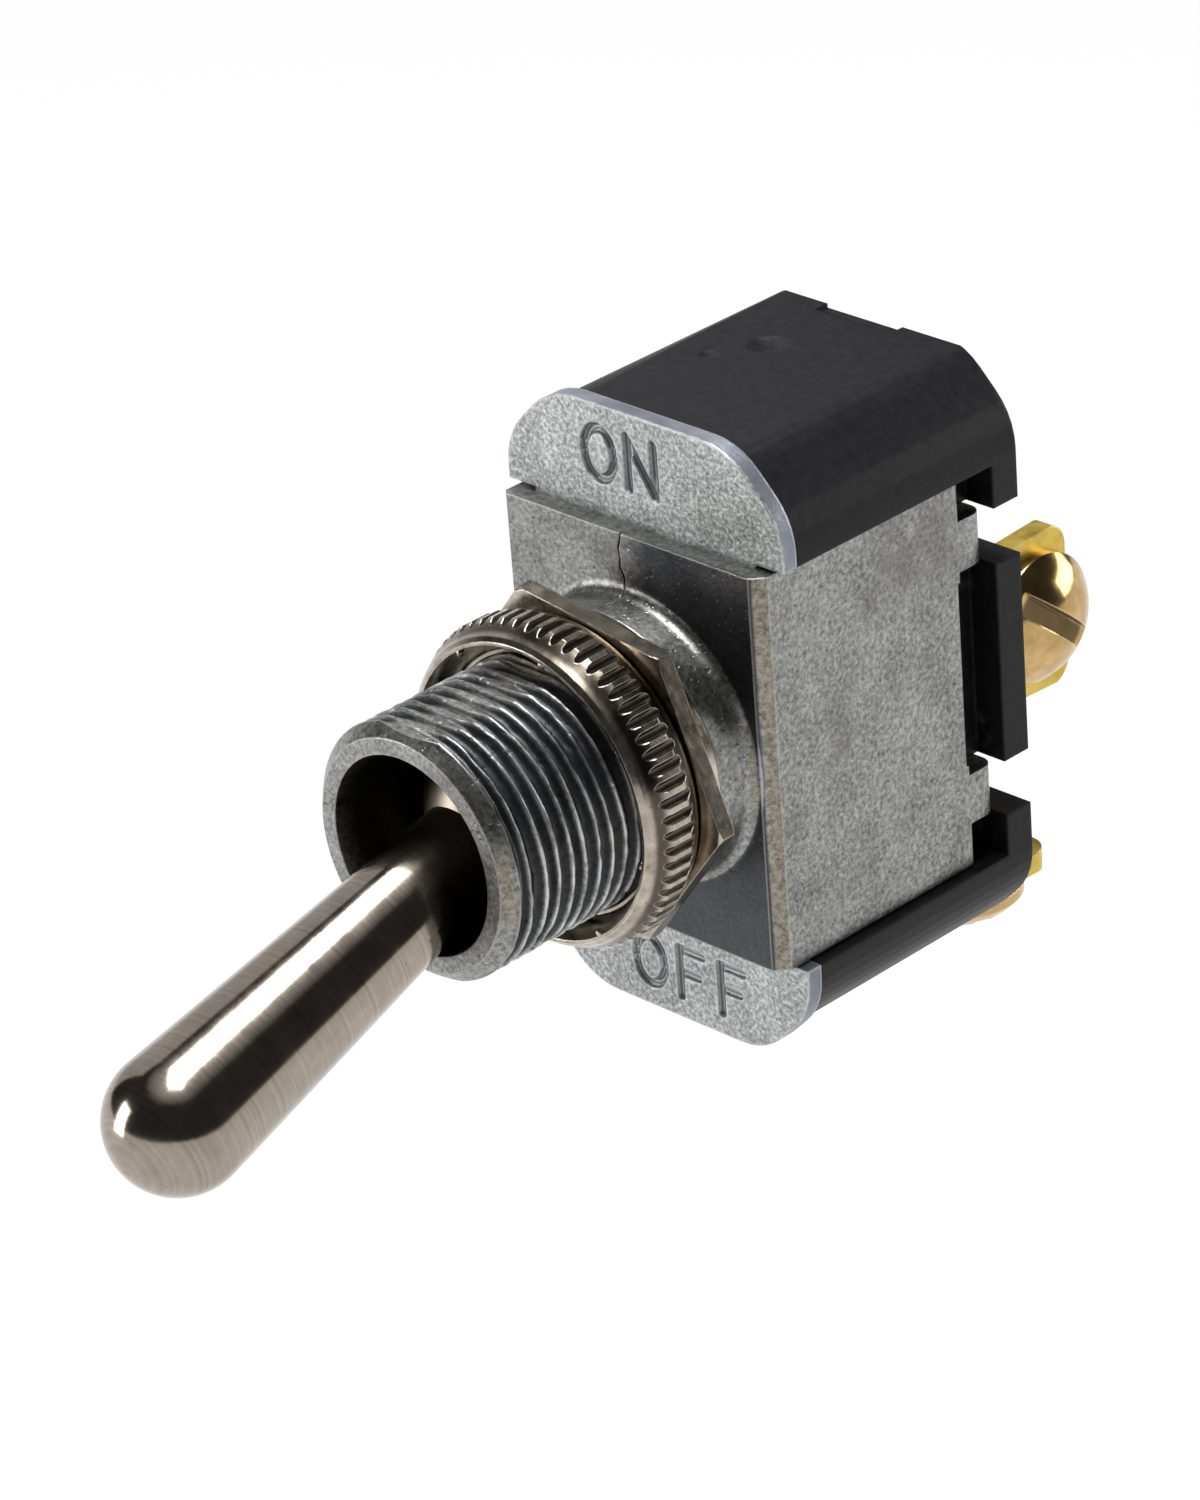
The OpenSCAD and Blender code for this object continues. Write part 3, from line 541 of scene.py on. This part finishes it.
# ---------------------------------------------------------------- frame with its thread and its crack
# Place, outward direction and width of the crack along its run
CRACK = [
    ((-0.46, WALL_FACE, 9.75), (0, -1, 0), 0.14),
    ((-0.50, WALL_FACE, 9.2), (0, -1, 0), 0.12),
    ((-0.66, WALL_FACE, 8.7), (0, -1, 0), 0.15),
    ((-0.58, WALL_FACE, 8.25), (0, -1, 0), 0.13),
    ((-0.63, WALL_FACE, 7.85), (0, -1, 0), 0.18),
    ((-0.44, WALL_FACE, 7.45), (0, -1, 0), 0.22),
    ((-0.40, WALL_FACE - 0.02, 7.15), (0, -0.95, 0.3), 0.18),
    ((-0.28, WALL_FACE - 0.4, 6.75), (0, -0.7, 0.7), 0.15),
    ((-0.16, WALL_FACE - 0.8, 6.60), (0, 0, 1), 0.13),
    ((-0.32, WALL_FACE - 1.3, 6.60), (0, 0, 1), 0.10),
    ((-0.24, WALL_FACE - 1.8, 6.60), (0, 0, 1), 0.04),
]
CRACK_DEPTH = 0.7
CRACK_RISE = 0.15


def crack_cutter():
    """A thin wedge that follows the crack down the wall and over the shoulder."""
    bm = bmesh.new()
    rows = []
    for place, out, width in CRACK:
        p, n = Vector(place), Vector(out).normalized()
        side = Vector((width / 2, 0, 0))
        top = p + n * CRACK_RISE
        rows.append([bm.verts.new(v * MM) for v in (top - side, top + side, p - n * CRACK_DEPTH)])
    for a, b in zip(rows, rows[1:]):
        for i in range(3):
            j = (i + 1) % 3
            bm.faces.new((a[i], a[j], b[j], b[i]))
    bm.faces.new(rows[0])
    bm.faces.new(rows[-1])
    return bm


THREAD_DEPTH = 0.42
THREAD_STEPS = 180
ROW_STEP = 0.055
CREST = 0.10
THREAD_START = 0.62
THREAD_END = -0.02
RUNOUT_START = 0.5
RUNOUT = 0.5
SKIN_RADII = (5.6, 6.0)


def thread_radius(angle, y):
    """Radius of the thread's surface in millimetres: crests with some wear, clipped by the two flats."""
    turn = angle / (2 * math.pi)
    sway = noise.noise(Vector((math.sin(angle) * 1.6, y * 1.3, math.cos(angle) * 1.6)))
    phase = (y / PITCH - turn + 0.16 * sway) % 1.0
    fall = max(0.0, abs(phase - 0.5) * 2 - CREST) / (1 - CREST)
    wear = noise.noise(Vector((math.sin(angle) * 2.2, y * 0.9, math.cos(angle) * 2.2)))
    chip = noise.noise(Vector((math.sin(angle) * 9, y * 3, math.cos(angle) * 9)))
    runout = min(1.0, (y - BUSHING_FRONT - RUNOUT_START) / RUNOUT)
    depth = THREAD_DEPTH * runout * (1 - 0.4 * max(0.0, wear)) * math.sin(fall * math.pi / 2)
    crest_wear = 0.10 * max(0.0, chip) + 0.05 * max(0.0, wear)
    r = THREAD_R - depth - crest_wear
    across = abs(math.cos(angle))
    limit = (FLAT_Z - 0.03 * max(0.0, chip)) / across if across > 0.5 else THREAD_R
    return min(r, limit)


def open_loops(bm, edges):
    """Groups boundary edges into closed loops."""
    left = set(edges)
    loops = []
    while left:
        loop = [left.pop()]
        grow = list(loop[0].verts)
        while grow:
            v = grow.pop()
            for e in v.link_edges:
                if e in left:
                    left.remove(e)
                    loop.append(e)
                    grow.append(e.other_vert(v))
        loops.append(loop)
    return loops


def cut_thread(bm):
    """Takes the plain cylinder and its flats off the bushing and joins a threaded skin in their place."""
    skin = []
    for f in bm.faces:
        radii = [math.hypot(v.co.x, v.co.z) / MM for v in f.verts]
        on_skin = min(radii) > SKIN_RADII[0] and max(radii) < SKIN_RADII[1]
        if on_skin and max(v.co.y for v in f.verts) < 1e-6 and abs(f.normal.y) < 0.2:
            skin.append(f)
    bmesh.ops.delete(bm, geom=skin, context="FACES")
    rims = sorted(open_loops(bm, [e for e in bm.edges if e.is_boundary]),
                  key=lambda loop: sum(e.verts[0].co.y for e in loop) / len(loop))
    y0, y1 = BUSHING_FRONT + THREAD_START, THREAD_END
    count = round((y1 - y0) / ROW_STEP)
    rows = []
    for k in range(count + 1):
        y = y0 + (y1 - y0) * k / count
        ring = []
        for i in range(THREAD_STEPS):
            angle = 2 * math.pi * i / THREAD_STEPS
            r = thread_radius(angle, y)
            ring.append(bm.verts.new(Vector((r * math.sin(angle), y, r * math.cos(angle))) * MM))
        rows.append(ring)
    for a, b in zip(rows, rows[1:]):
        for i in range(THREAD_STEPS):
            j = (i + 1) % THREAD_STEPS
            bm.faces.new((a[i], a[j], b[j], b[i]))
    for rim, row in ((rims[0], rows[0]), (rims[-1], rows[-1])):
        ring_edges = [bm.edges.get((row[i], row[(i + 1) % THREAD_STEPS])) for i in range(THREAD_STEPS)]
        bmesh.ops.bridge_loops(bm, edges=rim + ring_edges)


body = add_object("frame_threaded", welded_copy("frame"), SLOT_MATERIALS["zinc"])
carve(body, add_object("crack", crack_cutter(), None))
threaded = bmesh.new()
threaded.from_mesh(body.data)
bmesh.ops.remove_doubles(threaded, verts=threaded.verts, dist=1e-7)
cut_thread(threaded)
bmesh.ops.recalc_face_normals(threaded, faces=threaded.faces)
threaded.to_mesh(body.data)
threaded.free()
smooth(body, 40)
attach(body, "housing")
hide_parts("frame")


# ---------------------------------------------------------------- punched pips on the knurled nut
PIP_COUNT = 8
PIP_R = 0.21
PIP_TURN = 33
PIP_RING = 6.68
PIP_DEPTH = 0.16
dish_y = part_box("knurled_nut")[0].y / MM + PIP_DEPTH
pips = bmesh.new()
for i in range(PIP_COUNT):
    a = math.radians(PIP_TURN + i * 360 / PIP_COUNT)
    spot = Vector((PIP_RING * math.cos(a), dish_y, PIP_RING * math.sin(a))) * MM
    place = Matrix.Translation(spot) @ Matrix.Diagonal((1, 0.8, 1, 1))
    bmesh.ops.create_uvsphere(pips, u_segments=16, v_segments=8, radius=PIP_R * MM, matrix=place)
pips_obj = add_object("nut_pips", pips, SLOT_MATERIALS["nickel_hardware"])
smooth(pips_obj, 80)
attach(pips_obj, "housing")


# ---------------------------------------------------------------- light, floor and camera
scene = bpy.context.scene
scene.view_settings.view_transform = "Standard"
ROOM_STRENGTH = 0.75
# Brightness of the room from straight down (0) to straight up (1)
SKY = ((0.35, 0.95), (0.46, 0.60), (0.51, 0.06), (0.90, 0.05), (1.00, 0.20))
FLOOR_Z = -0.06
FLOOR_HALF = 1.5
FLOOR_GLOW = 0.88


def make_world():
    """White behind the object, also in its reflections below eye level, and a soft room above."""
    world = bpy.data.worlds.new("world")
    scene.world = world
    world.use_nodes = True
    t = world.node_tree
    t.nodes.clear()
    out = t.nodes.new("ShaderNodeOutputWorld")
    white = t.nodes.new("ShaderNodeBackground")
    white.inputs["Color"].default_value = (1, 1, 1, 1)
    room = t.nodes.new("ShaderNodeBackground")
    room.inputs["Strength"].default_value = ROOM_STRENGTH
    mixer = t.nodes.new("ShaderNodeMixShader")
    path = t.nodes.new("ShaderNodeLightPath")
    coords = t.nodes.new("ShaderNodeTexCoord")
    parts = t.nodes.new("ShaderNodeSeparateXYZ")
    t.links.new(coords.outputs["Generated"], parts.inputs[0])
    rise = t.nodes.new("ShaderNodeMapRange")
    rise.inputs["From Min"].default_value = -1
    t.links.new(parts.outputs["Z"], rise.inputs["Value"])
    sky = t.nodes.new("ShaderNodeValToRGB")
    stops = sky.color_ramp.elements
    for place, level in SKY:
        stop = stops.new(place)
        stop.color = (level, level, level * 1.02, 1)
    stops.remove(stops[0])
    stops.remove(stops[len(stops) - 1])
    t.links.new(rise.outputs[0], sky.inputs[0])
    t.links.new(sky.outputs[0], room.inputs["Color"])
    t.links.new(path.outputs["Is Camera Ray"], mixer.inputs[0])
    t.links.new(room.outputs[0], mixer.inputs[1])
    t.links.new(white.outputs[0], mixer.inputs[2])
    t.links.new(mixer.outputs[0], out.inputs[0])


def area(name, place, size, power, aim=(0, 0, 0)):
    light = bpy.data.lights.new(name, "AREA")
    light.shape = "RECTANGLE"
    light.size, light.size_y = size
    light.energy = power
    obj = bpy.data.objects.new(name, light)
    scene.collection.objects.link(obj)
    obj.location = place
    obj.rotation_mode = "QUATERNION"
    obj.rotation_quaternion = (Vector(aim) - Vector(place)).to_track_quat("-Z", "Y")


def make_floor():
    """Pale floor far below the held switch: white to the camera and in reflections, with a faint shadow."""
    m = Mat("floor")
    m.set(Base_Color=(0.9, 0.9, 0.9), Roughness=0.9)
    glow = m.add("ShaderNodeEmission")
    path = m.add("ShaderNodeLightPath")
    seen = m.math("MAXIMUM", path.outputs["Is Camera Ray"],
                  m.math("MAXIMUM", path.outputs["Is Glossy Ray"], path.outputs["Is Transmission Ray"]))
    mixer = m.add("ShaderNodeMixShader")
    output = next(n for n in m.t.nodes if n.type == "OUTPUT_MATERIAL")
    m.put(mixer.inputs[0], m.times(seen, FLOOR_GLOW))
    m.put(mixer.inputs[1], m.bsdf.outputs[0])
    m.put(mixer.inputs[2], glow.outputs[0])
    m.put(output.inputs["Surface"], mixer.outputs[0])
    bm = bmesh.new()
    bmesh.ops.create_grid(bm, x_segments=1, y_segments=1, size=FLOOR_HALF,
                          matrix=Matrix.Translation((0, 0, FLOOR_Z)))
    floor = add_object("floor", bm, m)


make_world()
make_floor()
area("key", (-0.03, 0.03, 0.30), (0.10, 0.24), 1.4)
area("left", (-0.28, 0.10, 0.12), (0.30, 0.30), 0.16)
area("front", (-0.22, -0.24, 0.02), (0.10, 0.20), 0.5)
area("rear", (0.12, 0.28, 0.06), (0.22, 0.10), 0.35)

# Camera: solved from the edges of the frame, the nut and the bushing
BACK = Vector((0.637, -0.6215, 0.456)).normalized()
TARGET = Vector((0, 0.0041, 0))
DISTANCE = 0.265946
ROLL = math.radians(-4.093)
level_right = UP.cross(BACK).normalized()
level_up = BACK.cross(level_right)
right = level_right * math.cos(ROLL) + level_up * math.sin(ROLL)
up = level_up * math.cos(ROLL) - level_right * math.sin(ROLL)
camera = bpy.data.objects.new("camera", bpy.data.cameras.new("camera"))
scene.collection.objects.link(camera)
scene.camera = camera
place = Matrix((right, up, BACK)).transposed().to_4x4()
place.translation = TARGET + BACK * DISTANCE
camera.matrix_world = place
camera.data.sensor_fit = "HORIZONTAL"
camera.data.sensor_width = 36
camera.data.lens = 183.204
camera.data.shift_x = -0.06183
camera.data.shift_y = -0.02858
camera.data.clip_start = 0.01
camera.data.clip_end = 10
